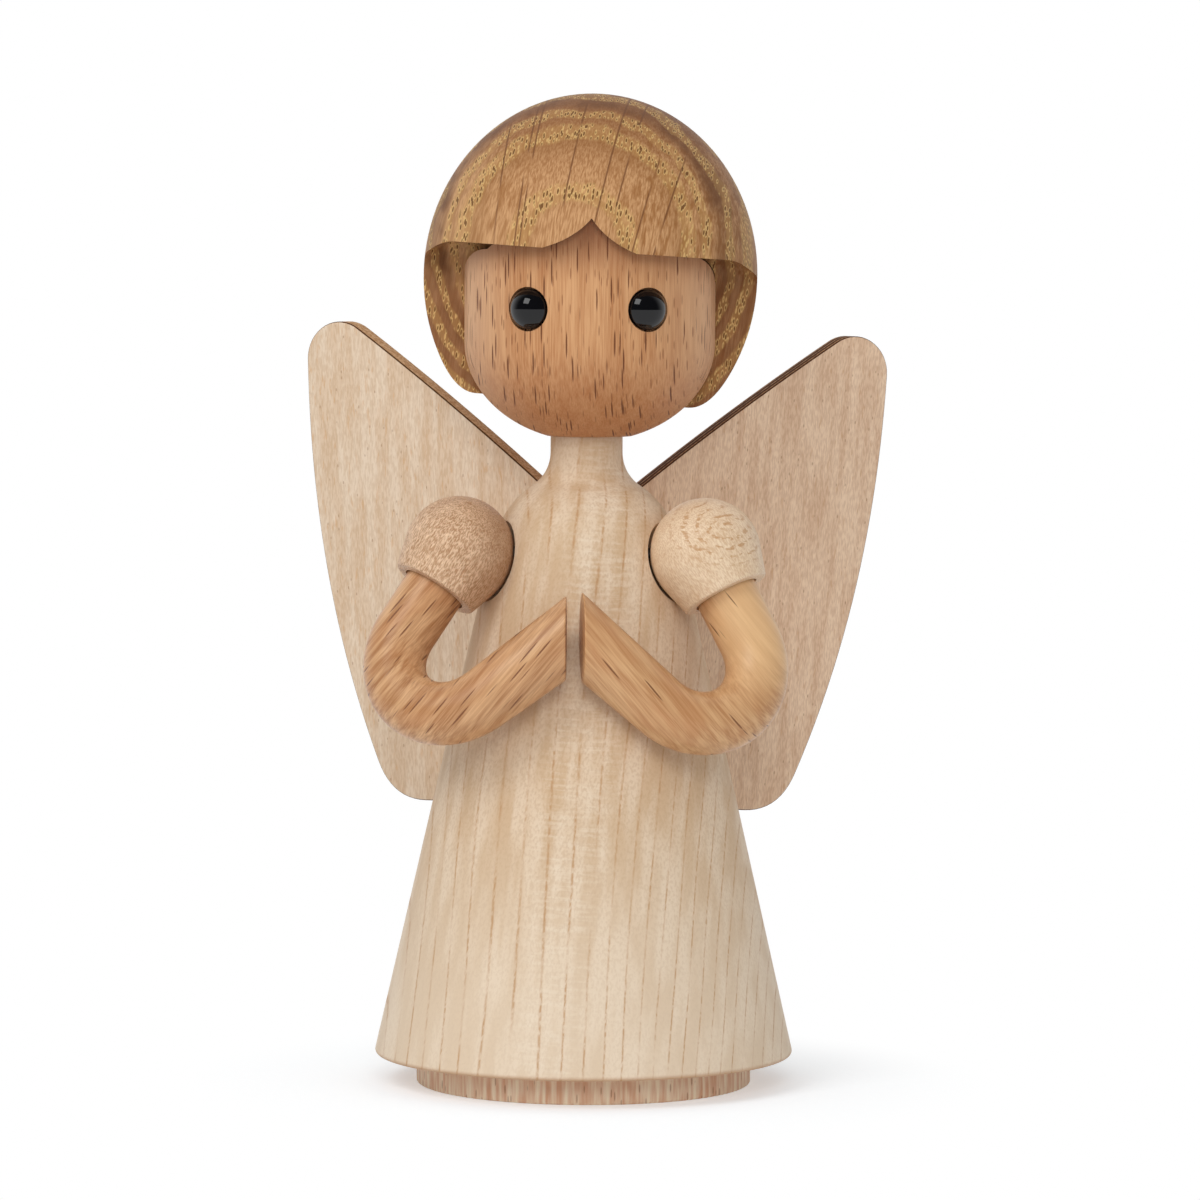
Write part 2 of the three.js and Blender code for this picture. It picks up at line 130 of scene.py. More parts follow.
class Finish:
    """A material whose nodes are added by name."""

    def __init__(self, name, roughness, gloss=0.25):
        self.material = bpy.data.materials.new(name)
        self.material.use_nodes = True
        self.tree = self.material.node_tree
        self.shader = self.tree.nodes["Principled BSDF"]
        self.shader.inputs["Roughness"].default_value = roughness
        self.shader.inputs["Specular IOR Level"].default_value = gloss

    def node(self, kind, sockets, out=0, **settings):
        """Adds a node with its inputs and settings, and gives back one of its outputs."""
        node = self.tree.nodes.new("ShaderNode" + kind)
        for name, value in settings.items():
            setattr(node, name, value)
        for name, value in sockets.items():
            if isinstance(value, Value):
                self.tree.links.new(value.socket, node.inputs[name])
            else:
                node.inputs[name].default_value = value
        return Value(self, node.outputs[out])

    def all_round(self, places):
        """The places, with width and depth swapped on the sides, which then show the front's grain."""
        across, depth, height = self.axes(places)
        facing = self.axes(self.node("TexCoord", {}, out="Normal"))[0]
        side = self.step(facing.math("ABSOLUTE"), 0.86, 0.87)
        shift = (depth - across) * side
        return self.node("CombineXYZ", {"X": across + shift, "Y": depth - shift, "Z": height})

    def grain(self, size, turn=(0, 0, 0), centre=(0, 0, 0), sides=False):
        """Places from a centre along turned axes, in units of a size."""
        places = self.node("TexCoord", {}, out="Object")
        sockets = {
            "Vector": self.all_round(places) if sides else places,
            "Location": [part * mm for part in centre],
            "Rotation": [radians(part) for part in turn],
            "Scale": [part * mm for part in size],
        }
        return self.node("Mapping", sockets, vector_type="TEXTURE")

    def axes(self, vector):
        """The X, Y and Z parts of a vector."""
        split = self.node("SeparateXYZ", {0: vector}).socket.node
        return [Value(self, socket) for socket in split.outputs]

    def measures(self, turn=(0, 0, 0), centre=(0, 0, 0)):
        """Millimetres across, deep and high from a centre, along turned axes."""
        return self.axes(self.grain((1, 1, 1), turn, centre))

    def step(self, value, low, high):
        """A smooth rise from 0 at one value to 1 at another."""
        sockets = {"Value": value, "From Min": low, "From Max": high}
        return self.node("MapRange", sockets, interpolation_type="SMOOTHSTEP")

    def noise(self, size, turn=(0, 0, 0), detail=2):
        """Soft noise with lumps of a size."""
        places = self.grain(size, turn)
        return self.node("TexNoise", {"Vector": places, "Scale": 1, "Detail": detail})

    def streaks(self, size, turn, low, high):
        """Soft streaks as long and wide as a size, more of them with a lower threshold."""
        return self.step(self.noise(size, turn), low, high)

    def flecks(self, size, turn, thick, share, sides=False):
        """Short sharp streaks, in a share of the cells of a size, as thick as a part of the cell."""
        places = self.grain(size, turn, sides=sides)
        cells = self.node("TexVoronoi", {"Vector": places, "Scale": 1})
        picked = self.axes(Value(self, cells.socket.node.outputs["Color"]))[0]
        return (1 - self.step(cells, thick * 0.6, thick)) * self.step(picked, 0.98 - share, 1 - share)

    def mix(self, share, first, second):
        """A blend of two colours, with a share of the second."""
        return self.node("Mix", {0: share, 6: first, 7: second}, out=2, data_type="RGBA")

    def paint(self, tint, relief):
        """Feeds the shader its colour and its fine relief in millimetres."""
        self.tree.links.new(tint.socket, self.shader.inputs["Base Color"])
        bump = self.node("Bump", {"Height": relief, "Strength": 1, "Distance": mm})
        self.tree.links.new(bump.socket, self.shader.inputs["Normal"])


upright = (0, 0, 0)
brown_beech = Finish("brown_beech", 0.6)
fibres = brown_beech.streaks((0.8, 0.8, 8), upright, 0.3, 0.7)
flecks = brown_beech.flecks((0.5, 2, 3), upright, 0.28, 0.35, sides=True)
tint = brown_beech.mix(fibres, colour(226, 176, 142), colour(255, 236, 208))
tint = brown_beech.mix(flecks * 0.5, tint, colour(150, 98, 66))
brown_beech.paint(tint, fibres * 0.012 - flecks * 0.02)

foot_profile = [
    (0, 0),
    *arc(foot_radius - foot_edge, foot_edge, foot_edge, -pi / 2, 0, 4),
    *arc(foot_radius - foot_edge, foot_height - foot_edge, foot_edge, 0, pi / 2, 4),
    (spigot_radius, foot_height),
    (spigot_radius, foot_height + spigot_length),
    (0, foot_height + spigot_length),
]
add_piece("base_disc", turned(foot_profile), "dress", "foot", brown_beech)

# Dress
# A cone of pale maple that runs into a ball-shaped shoulder and a slim neck, turned in one piece.
# Hollows for the sleeve balls, slots for the wings and bores for foot, dowel and pin are cut into it.

seat_gap = 0.3
socket_gap = 0.45
rest_gap = 0.05
hem_radius = 31.7
hem_round = 0.6
hem_height = foot_height + seat_gap
shoulder_radius = 14.5
shoulder_height = 78.8
neck_radius = 5.45
neck_fillet = 6
neck_top = shoulder_height + 19.2
sleeve_radius = 8.3
sleeve_sink = 2.3
shoulder_angle = radians(65.6)
pivot_height = shoulder_height + 2.3
neck_dowel_radius = 3
neck_dowel_depth = 9
pin_radius = 0.75

wing_thickness = 3.5
wing_inset = 4.2
wing_root = 2.7
wing_root_top = shoulder_height + 6.9
wing_bottom = wing_root_top - 44.4
wing_tip_rise = 30.3
wing_tab = 2.2
wing_width = 49.9
wing_tip_round = 5.8
# The side of each wing, and its sweep and tilt in degrees
wing_sets = {"left": (-1, 24.4, 1.5), "right": (1, 29.6, 4)}

hem_centre = hem_radius - hem_round
cone_rise = shoulder_height - hem_height - hem_round
cone_lean = acos((shoulder_radius - hem_round) / hypot(hem_centre, cone_rise))
cone_slope = cone_lean - atan2(cone_rise, hem_centre)


def dress_radius(height):
    """The radius of the dress at a height between the hem and the neck."""
    top = shoulder_height + shoulder_radius * sin(cone_slope)
    if height > top:
        return sqrt(shoulder_radius**2 - (height - shoulder_height) ** 2)
    return shoulder_radius * cos(cone_slope) + (top - height) * tan(cone_slope)


def carved(shape, tools, operation="DIFFERENCE"):
    """What a shape has left outside each tool, or inside it with INTERSECT."""
    makings = []
    for part in [shape, *tools]:
        mesh = bpy.data.meshes.new("making")
        part.to_mesh(mesh)
        part.free()
        makings.append(bpy.data.objects.new("making", mesh))
        bpy.context.scene.collection.objects.link(makings[-1])
    for tool in makings[1:]:
        cut = makings[0].modifiers.new("cut", "BOOLEAN")
        cut.operation = operation
        cut.object = tool
    depsgraph = bpy.context.evaluated_depsgraph_get()
    result = bmesh.new()
    result.from_mesh(makings[0].evaluated_get(depsgraph).to_mesh())
    for making in makings:
        bpy.data.meshes.remove(making.data)
    return result


def ball(radius, centre):
    shape = bmesh.new()
    place = Matrix.Translation(Vector(centre) * mm)
    bmesh.ops.create_uvsphere(shape, u_segments=72, v_segments=48, radius=radius * mm, matrix=place)
    return shape


def bore(radius, bottom, top):
    """What a drill takes away along Z, from one height to another."""
    return turned([(0, bottom), (radius, bottom), (radius, top), (0, top)], 64)


def only(parts, kind):
    """The parts of one kind, such as vertices."""
    return [part for part in parts if isinstance(part, kind)]


def plate(outline, front, back):
    """A standing plate from an outline of x and height, from one depth to another."""
    shape = bmesh.new()
    corners = [shape.verts.new((across * mm, front * mm, height * mm)) for across, height in outline]
    raised = bmesh.ops.extrude_face_region(shape, geom=[shape.faces.new(corners)], use_keep_orig=True)
    moved = only(raised["geom"], bmesh.types.BMVert)
    bmesh.ops.translate(shape, verts=moved, vec=(0, (back - front) * mm, 0))
    bmesh.ops.recalc_face_normals(shape, faces=shape.faces)
    return shape


def placed(shape, place):
    bmesh.ops.transform(shape, matrix=place, verts=shape.verts)
    return shape


shoulder_out = dress_radius(pivot_height) + sleeve_radius - sleeve_sink
shoulder_spread = shoulder_out * sin(shoulder_angle)
shoulder_forward = shoulder_out * cos(shoulder_angle)
shoulders = {
    "left": Vector((-shoulder_spread, -shoulder_forward, pivot_height)),
    "right": Vector((shoulder_spread, -shoulder_forward, pivot_height)),
}

wing_meet = dress_radius(wing_root_top) - wing_inset
tip_across = wing_width - wing_tip_round
tip_height = wing_root_top + wing_tip_rise - wing_tip_round
top_run = hypot(tip_across - wing_root, tip_height - wing_root_top)
wing_lift = atan2(tip_height - wing_root_top, tip_across - wing_root)
wing_rise = wing_lift + asin(wing_tip_round / top_run)


def wing_root_bottom(sweep):
    """How far out a wing's lower edge begins, a tab's width inside the dress."""
    reach = dress_radius(wing_bottom) ** 2 - (wing_meet * cos(sweep)) ** 2
    return sqrt(reach) - wing_meet * sin(sweep) - wing_tab


def wing_slot(side, sweep):
    """What is sawn out of the dress for the inner edge of a wing."""
    out = dress_radius(wing_bottom)
    floor = wing_bottom - seat_gap
    slope = tan(wing_rise)
    ceiling = wing_root_top + 2 * seat_gap
    outline = [
        (wing_root_bottom(sweep) - seat_gap, floor),
        (out, floor),
        (out, ceiling + slope * (out - wing_root)),
        (wing_root - seat_gap, ceiling),
    ]
    outline = [(side * across, height) for across, height in outline]
    return plate(outline, -seat_gap, wing_thickness + seat_gap)


def wing_place(side, sweep, tilt):
    """Tilts a wing about the top of its root, sweeps it back and sets it into the dress."""
    pivot = Matrix.Translation(Vector((side * wing_root, 0, wing_root_top)) * mm)
    meet = Matrix.Translation(Vector((0, wing_meet, 0)) * mm)
    lean = Matrix.Rotation(side * tilt, 4, "Y")
    return meet @ Matrix.Rotation(side * sweep, 4, "Z") @ pivot @ lean @ pivot.inverted()


fillet_reach = neck_radius + neck_fillet
fillet_height = shoulder_height + sqrt((shoulder_radius + neck_fillet) ** 2 - fillet_reach**2)
fillet_angle = atan2(fillet_height - shoulder_height, fillet_reach)
neck_end = neck_top + seat_gap - rest_gap
dress_profile = [
    (0, hem_height),
    *arc(hem_centre, hem_height + hem_round, hem_round, -pi / 2, cone_slope, 6),
    *arc(0, shoulder_height, shoulder_radius, cone_slope, fillet_angle, 24),
    *arc(fillet_reach, fillet_height, neck_fillet, fillet_angle + pi, pi, 12),
    (neck_radius, neck_end),
    (0, neck_end),
]
pin_place = Matrix.Translation(Vector((0, -shoulder_forward, pivot_height)) * mm)
pin_place = pin_place @ Matrix.Rotation(pi / 2, 4, "Y")
dress_tools = [
    *[ball(sleeve_radius + socket_gap, centre) for centre in shoulders.values()],
    bore(spigot_radius + seat_gap, 0, foot_height + spigot_length + seat_gap),
    bore(neck_dowel_radius + seat_gap, neck_top - neck_dowel_depth - seat_gap, neck_end + 1),
    placed(bore(pin_radius + seat_gap, -shoulder_spread, shoulder_spread), pin_place),
]
for side, sweep, tilt in wing_sets.values():
    slot = wing_slot(side, radians(sweep))
    dress_tools.append(placed(slot, wing_place(side, radians(sweep), radians(tilt))))

maple = Finish("pale_maple", 0.5, 0.12)
leaning = (0, 5.5, 0)
painted_light_below = (8, 50)
painted_neck_shadow = (91, 100)
hem_rim_width = 0.9
# Growth lines broken into dashes, closer together towards the sides, and a curly strip near the middle
across, depth, _ = maple.measures(leaning)
wander = maple.noise((22, 22, 80), upright, 1) * 7
off_middle = across + 6
ring = (across + depth * 0.2 + wander) * 0.22 + off_middle * off_middle.math("ABSOLUTE") * 0.006
line = 1 - maple.step(ring.math("PINGPONG", 0.5), 0, 0.09)
dashes = maple.streaks((0.35, 0.35, 1.2), leaning, 0.35, 0.6) * 0.8 + 0.2
fading = maple.streaks((3, 3, 22), leaning, 0.25, 0.6)
line = line * dashes * fading
clouds = maple.streaks((2.5, 5, 28), leaning, 0.35, 0.65)
strip = 1 - maple.step((across + 4).math("ABSOLUTE"), 2, 8)
curl = maple.streaks((5, 5, 0.6), (0, 3, 0), 0.4, 0.7) * strip
speckle = maple.streaks((0.35, 0.35, 0.6), leaning, 0.42, 0.66)
tint = maple.mix(clouds, colour(215, 184, 149), colour(232, 208, 180))
tint = maple.mix(curl * 0.4, tint, colour(244, 228, 206))
tint = maple.mix(speckle * 0.4, tint, colour(202, 168, 132))
height = maple.measures()[2]
# Painted light: the lower dress is painted paler than the middle, which lies in the arms' shade.
tint = maple.mix((1 - maple.step(height, *painted_light_below)) * 0.45, tint, colour(246, 230, 208))
# Painted shadow: the top of the neck is darker where the head shades it.
tint = maple.mix(maple.step(height, *painted_neck_shadow) * 0.35, tint, colour(178, 140, 106))
tint = maple.mix(line * 0.75, tint, colour(190, 140, 92))
hem_rim = 1 - maple.step(height, hem_height, hem_height + hem_rim_width)
tint = maple.mix(hem_rim * 0.7, tint, colour(190, 138, 92))
maple.paint(tint, speckle * -0.008)
dress = carved(turned(dress_profile, 192), dress_tools)
add_piece("dress_body", dress, "dress", "dress", maple, sharp=30)

# Wings
# Two plates of thin plywood with an upright face veneer, cut by a hot tool that browned the edges.
# Each is glued by its inner edge into a slot in the back of the dress.

wing_lower_width = 36.1
wing_lower_round = 6
wing_lean = 0.4
wing_rim = 0.25
wing_bow = 0.55


def bend(first, second, third, fourth, steps):
    """Points along a curve between the first and the last of four points."""
    points = [Vector((*point, 0)) for point in (first, second, third, fourth)]
    return [(point.x, point.y) for point in interpolate_bezier(*points, steps)]


def wing_outline(side, sweep):
    corner = (wing_lower_width + wing_lean * wing_lower_round, wing_bottom + wing_lower_round)
    third = (tip_height - corner[1]) / 3
    lower = (wing_lower_width - wing_lower_round, wing_bottom)
    round_in = (wing_lower_width - wing_lower_round / 3, wing_bottom)
    round_rise = wing_lower_round * 2 / 3
    round_out = (corner[0] - wing_lean * round_rise, corner[1] - round_rise)
    outer = (corner[0] + wing_lean * third, corner[1] + third)
    outline = [
        (wing_root_bottom(sweep), wing_bottom),
        *bend(lower, round_in, round_out, corner, 12),
        *bend(corner, outer, (wing_width, tip_height - third), (wing_width, tip_height), 24)[1:],
        *arc(tip_across, tip_height, wing_tip_round, 0, pi / 2 + wing_rise, 16)[1:],
    ]
    tip = Vector(outline[-1])
    root = Vector((wing_root, wing_root_top))
    bow = Vector((-sin(wing_rise), cos(wing_rise))) * wing_bow * 4 / 3
    outline += bend(tip, tip.lerp(root, 1 / 3) + bow, tip.lerp(root, 2 / 3) + bow, root, 16)[1:]
    return [(side * across, height) for across, height in outline]


wing_tints = {
    "left": [colour(214, 186, 156), colour(235, 213, 188), colour(212, 164, 114)],
    "right": [colour(216, 179, 149), colour(244, 213, 182), colour(200, 148, 104)],
}
ply_tints = {
    "left": [colour(92, 56, 32), colour(190, 142, 98), colour(222, 182, 140)],
    "right": [colour(88, 54, 32), colour(142, 98, 64), colour(194, 148, 106)],
}
glue_lines = {"left": [0], "right": [0, 1.2, 2.3]}


def rounded(shape, edges, radius, segments, clamp=False):
    """Rounds some edges of a shape."""
    bmesh.ops.bevel(
        shape,
        geom=edges,
        offset=radius * mm,
        affect="EDGES",
        segments=segments,
        profile=0.5,
        material=-1,
        clamp_overlap=clamp,
    )


for label, (side, sweep, tilt) in wing_sets.items():
    turn = (0, side * tilt, side * sweep)
    dull, light, brown = wing_tints[label]
    veneer = Finish("wing_veneer_" + label, 0.55)
    fibres = veneer.streaks((0.22, 0.22, 1.1), turn, 0.35, 0.65)
    bands = veneer.streaks((1.8, 1.8, 16), turn, 0.4, 0.65)
    warm = veneer.streaks((0.5, 0.5, 2.6), turn, 0.6, 0.72)
    pores = veneer.flecks((0.5, 0.5, 1.2), turn, 0.26, 0.1)
    tint = veneer.mix(fibres * 0.65 + (1 - bands) * 0.35, dull, light)
    tint = veneer.mix(bands * 0.14 + warm * 0.4, tint, brown)
    tint = veneer.mix(pores * 0.5, tint, colour(158, 112, 80))
    veneer.paint(tint, fibres * 0.01 - pores * 0.015)

    burnt, ply, pale_ply = ply_tints[label]
    plies = Finish("wing_edge_" + label, 0.7, 0.1)
    through = plies.measures(turn, (0, wing_meet, 0))[1]
    smoke = plies.streaks((0.5, 0.5, 0.5), turn, 0.35, 0.65)
    tint = plies.mix(smoke, ply, pale_ply)
    for glue_line in glue_lines[label]:
        off_line = plies.step((through - glue_line).math("ABSOLUTE"), 0.25, 0.5)
        tint = plies.mix(off_line, burnt, tint)
    plies.paint(tint, smoke * 0.03)

    shape = plate(wing_outline(side, radians(sweep)), 0, wing_thickness)
    rims = [edge for edge in shape.edges if edge.verts[0].co.y == edge.verts[1].co.y]
    rounded(shape, rims, wing_rim, 3, clamp=True)
    for face in shape.faces:
        face.material_index = 0 if abs(face.normal.y) > 0.9 else 1
    placed(shape, wing_place(side, radians(sweep), radians(tilt)))
    add_piece("wing_" + label, shape, "dress", "wings", veneer, plies)

# Head
# A block of steamed beech, turned with a straight wall over a round bowl, its top corners sawn round.
# It is bored from below for the neck dowel, so that it turns on it, and in front for the eyes.

turn_gap = 0.15
head_radius = 18.95
head_bowl = 15.1
head_flat_radius = 6.4
head_wall_top = 34
head_corner_height = 28
head_corner_round = 3.8
head_crown_half_width = 7.5
head_corner_roll = radians(1.8)
head_set_right = 0.4
head_turn = radians(3)
eye_radius = 3
eye_dome = 1.8
eye_sink = 0.9
eye_stem_radius = 1.1
eye_stem_length = 4
eye_spread = 9
eye_height = 19.6

head_place = Matrix.Translation((0, 0, neck_top * mm)) @ Matrix.Rotation(head_turn, 4, "Z")
bowl_centre = seat_gap + head_bowl * sqrt(1 - (head_flat_radius / head_radius) ** 2)


def head_form(extra, steps):
    """The head's outside, larger all round by an extra."""
    flat = asin(head_flat_radius / head_radius)
    turns = [flat - pi / 2 + (pi / 2 - flat) * i / 24 for i in range(25)]
    wall = head_radius + extra
    profile = [
        (0, seat_gap - extra),
        *[(wall * cos(turn), bowl_centre + (head_bowl + extra) * sin(turn)) for turn in turns],
        (wall, head_wall_top + extra),
        (0, head_wall_top + extra),
    ]
    corner = head_corner_height + extra
    rounding = head_corner_round + extra
    half = [
        (wall + 1, -head_bowl),
        (wall + 1, corner - rounding),
        *arc(wall - rounding, corner - rounding, rounding, 0, pi / 2, 16),
        (head_crown_half_width + extra, head_wall_top + extra + 1),
    ]
    outline = half + [(-across, height) for across, height in reversed(half)]
    middle = Matrix.Translation((0, 0, head_corner_height * mm))
    rolled = middle @ Matrix.Rotation(head_corner_roll, 4, "Y") @ middle.inverted()
    saw = placed(plate(outline, -wall - 1, wall + 1), rolled)
    form = carved(turned(profile, steps), [saw], "INTERSECT")
    return placed(form, Matrix.Translation((head_set_right * mm, 0, 0)))


def eye_place(side):
    """Where an eye sits in the face, with its dome outwards."""
    angle = asin(eye_spread / head_radius) * side
    out = (head_set_right + head_radius * sin(angle), -head_radius * cos(angle), eye_height)
    seat = Matrix.Translation(Vector(out) * mm)
    return seat @ Matrix.Rotation(angle, 4, "Z") @ Matrix.Rotation(pi / 2, 4, "X")


head_tools = [bore(neck_dowel_radius + turn_gap, -1, neck_dowel_depth + seat_gap)]
for side in (-1, 1):
    seat_floor = -eye_sink - seat_gap
    stem_floor = seat_floor - eye_stem_length
    head_tools.append(placed(bore(eye_radius + seat_gap, seat_floor, eye_radius), eye_place(side)))
    head_tools.append(placed(bore(eye_stem_radius + seat_gap, stem_floor, 0), eye_place(side)))

beech = Finish("steamed_beech", 0.5)
chin_shade_and_end_grain = (101, 116)
forehead_shadow_and_dark_tone = (121, 130)
across, _, height = beech.measures()
fibres = beech.streaks((0.18, 0.6, 6), upright, 0.3, 0.7)
clouds = beech.streaks((1.2, 3, 18), upright, 0.35, 0.65)
flecks = beech.flecks((0.5, 8, 8.5), upright, 0.28, 0.7, sides=True)
ticks = beech.flecks((0.45, 5, 3.6), upright, 0.29, 0.7, sides=True)
tint = beech.mix(fibres * 0.6 + clouds * 0.4, colour(186, 126, 80), colour(221, 168, 120))
# Painted sheen and light: the sides of the face are painted paler, where they turn away and catch the
# white room, and the left side more so, towards the key light.
edges = beech.step(across.math("ABSOLUTE"), 9, 19) * 0.35 + beech.step(across * -1, 8, 16) * 0.2
tint = beech.mix(edges, tint, colour(224, 182, 146))
# The bowl under the chin is darker and oranger: partly its end grain, partly painted shade and warm
# bounce light.
tint = beech.mix((1 - beech.step(height, *chin_shade_and_end_grain)) * 0.5, tint, colour(172, 106, 62))
# The forehead under the fringe is darker: partly painted shadow of the fringe, partly a darker tone of
# the wood.
tint = beech.mix(beech.step(height, *forehead_shadow_and_dark_tone) * 0.85, tint, colour(136, 88, 60))
tint = beech.mix(ticks * 0.6, tint, colour(138, 84, 50))
tint = beech.mix(flecks * 0.9, tint, colour(104, 56, 30))
beech.paint(tint, fibres * 0.01 - flecks * 0.03)
head = placed(carved(head_form(0, 144), head_tools), head_place)
add_piece("head_block", head, "head", "face", beech)

# Eyes
# Two glossy black domes of turned plastic, glued into shallow seats in the face by a stem each.

gloss_black = Finish("gloss_black", 0.05, 0.4)
gloss_black.shader.inputs["Base Color"].default_value = (0.003, 0.003, 0.004, 1)

dome_radius = (eye_radius**2 + eye_dome**2) / (2 * eye_dome)
dome_edge = asin(eye_radius / dome_radius)
eye_profile = [
    (0, -eye_sink - eye_stem_length),
    (eye_stem_radius, -eye_sink - eye_stem_length),
    (eye_stem_radius, -eye_sink),
    (eye_radius, -eye_sink),
    *arc(0, eye_dome - dome_radius, dome_radius, pi / 2 - dome_edge, pi / 2, 24),
]
for label, side in (("left", -1), ("right", 1)):
    eye = placed(turned(eye_profile, 64), head_place @ eye_place(side))
    add_piece("eye_" + label, eye, "head", "eyes", gloss_black, sharp=50)

# Hair
# An egg of oak, hollowed and glued over the head, with a window sawn out for the face.
# The window leaves a fringe with a centre parting above the brow and a lock at each side.

hair_radius = 25.3
hair_half_height = 27.6
hair_centre_height = 24.4
hair_set_back = 3.5
hair_set_right = 0.4
hair_roll = radians(3.6)
hair_bottom = -18.9
hair_bottom_round = 7.5
fringe_edge = 3.9
fringe_corner = 20.5
fringe_bend = 4
fringe_drop = 8
parting_height = 4.8
parting_half_width = 7
lock_face = -0.5
lock_cove = 2.5

egg_start = asin((hair_bottom + hair_bottom_round) / hair_half_height)
egg_edge = hair_radius * cos(egg_start)
egg_slope = hair_half_height / hair_radius / tan(egg_start)
egg_flat = egg_edge + hair_bottom_round / egg_slope
egg_turns = [egg_start + (pi / 2 - egg_start) * i / 40 for i in range(41)]


def curved(first, knee, last, steps):
    """Points from the first to the last of three points, along a curve that leans to the knee."""
    first, knee, last = [Vector(point) for point in (first, knee, last)]
    return bend(first, first.lerp(knee, 2 / 3), last.lerp(knee, 2 / 3), last, steps)


hair_profile = [
    (0, hair_bottom),
    *curved(
        (egg_flat - hair_bottom_round / 2, hair_bottom),
        (egg_flat, hair_bottom),
        (egg_edge, hair_bottom + hair_bottom_round),
        14,
    ),
    *[(hair_radius * cos(turn), hair_half_height * sin(turn)) for turn in egg_turns[1:]],
]


def hair_window(parting):
    """What is cut away for the face, as a plain window with a coved back or with the parting."""
    reach = hair_radius + 2 * lock_cove
    front = -hair_radius - lock_cove
    back = lock_face - lock_cove if parting else lock_face
    half = [
        (reach, hair_bottom - 2 * lock_cove),
        *curved(
            (reach, fringe_edge - fringe_drop),
            (fringe_corner + fringe_bend, fringe_edge),
            (fringe_corner, fringe_edge),
            14,
        ),
    ]
    mirrored = half[::-1]
    if parting:
        peak = (0, fringe_edge + parting_height)
        knee = (parting_half_width / 3, fringe_edge + parting_height / 3)
        rise = curved((parting_half_width, fringe_edge), knee, peak, 12)
        half = half + rise
        mirrored = rise[-2::-1] + mirrored
    cut = plate(half + [(-across, height) for across, height in mirrored], front, back)
    if not parting:
        rim = [edge for edge in cut.edges if all(vert.co.y > front / 2 * mm for vert in edge.verts)]
        rounded(cut, rim, lock_cove, 8)
    return cut


hair_seat = Vector((hair_set_right, hair_set_back, hair_centre_height)) * mm
hair_place = Matrix.Translation(hair_seat) @ Matrix.Rotation(hair_roll, 4, "Y")
cavity = placed(head_form(seat_gap / 2, 120), hair_place.inverted())
hair = carved(turned(hair_profile, 168), [hair_window(True), hair_window(False), cavity])

oak = Finish("golden_oak", 0.5, 0.1)
pith = (-0.8, hair_set_back, 127)
pith_radius = 2
# The radius of each ring of pores, and half its width
growth_rings = {8.2: 1.9, 17: 1.4, 19.7: 0.8, 22.6: 0.7, 25.2: 0.9, 28: 0.9}
ray_centre = (-23, 0, 7)
rays_per_radian = 34
# Rings with open pores in their early wood and darker late wood, crossed by thin dark rays
across, depth, height = oak.measures(upright, pith)
wander = oak.noise((5, 12, 5)) * 2 - 1
lifted = height + depth.math("MAXIMUM", 0) * 1.1
radius = (across * across + lifted * lifted).math("SQRT") + wander
early = 0
for growth, half_width in growth_rings.items():
    early = early + (1 - oak.step((radius - growth).math("ABSOLUTE"), half_width * 0.5, half_width))
late = 0
for inner, outer in zip([pith_radius, *growth_rings], growth_rings):
    darker = oak.step(radius, (inner + outer) / 2, outer)
    late = late + darker * (1 - oak.step(radius, outer - 0.4, outer))
pore_cells = oak.grain((0.42, 1.6, 1.5), (0, 8, 0), sides=True)
pore = oak.node("TexVoronoi", {"Vector": pore_cells, "Scale": 1})
# The golden rims around the pores are painted glints; the dark pits are the open pores with painted
# shade in them.
pore_glint = (1 - oak.step(pore, 0.38, 0.55)) * early
shaded_pore_pit = (1 - oak.step(pore, 0.24, 0.38)) * early
fan_across, _, fan_height = oak.measures(upright, ray_centre)
fan = fan_across.math("ARCTAN2", fan_height) * rays_per_radian
ray = oak.node("TexVoronoi", {"W": fan, "Scale": 1}, voronoi_dimensions="1D")
ray_stretch = oak.streaks((2.5, 9, 22), upright, 0.4, 0.5)
middle = 1 - oak.step(across.math("ABSOLUTE"), 15, 18)
rays = (1 - oak.step(ray, 0.012, 0.05)) * ray_stretch * middle
fibres = oak.streaks((0.22, 0.5, 4), (0, 8, 0), 0.3, 0.7)
golden = oak.streaks((0.8, 1.2, 7), (0, 12, 0), 0.45, 0.65) * oak.step(across.math("ABSOLUTE"), 1, 12)
mottle = oak.streaks((3, 6, 5), upright, 0.35, 0.65)
bark = oak.step(radius, 20, 21.5) * (1 - 0.4 * oak.step(radius, 22.6, 24))
tint = oak.mix(fibres, colour(174, 124, 80), colour(212, 163, 116))
tint = oak.mix(golden * 0.7, tint, colour(154, 101, 54))
tint = oak.mix(oak.step(across * -1, 8, 20) * 0.3, tint, colour(218, 174, 130))
tint = oak.mix(oak.step(height, 8, 21) * 0.6, tint, colour(124, 72, 34))
# Darker lower hair: partly darker wood in the locks, partly painted shade.
tint = oak.mix((1 - oak.step(height, -9, 1)) * 0.45, tint, colour(128, 78, 50))
tint = oak.mix(late * 0.45, tint, colour(148, 100, 56))
tint = oak.mix(bark * (mottle * 0.4 + 0.45), tint, colour(110, 68, 38))
tint = oak.mix(early * 0.3, tint, colour(204, 158, 96))
# Painted glints on the pore rims, then painted shade in the pits.
tint = oak.mix(pore_glint * 0.8, tint, colour(228, 188, 124))
tint = oak.mix(shaded_pore_pit * 0.9, tint, colour(108, 64, 32))
tint = oak.mix(rays * 0.8, tint, colour(116, 74, 46))
oak.paint(tint, fibres * 0.015 - shaded_pore_pit * 0.06)
add_piece("hair_cap", placed(hair, head_place @ hair_place), "head", "hair", oak, sharp=30)

# Sleeves
# Two balls of maple, drawn out into a short skirt with a shallow pocket that the arm comes out of.
# Each turns on the end of a steel pin, half sunk in its hollow in the dress.

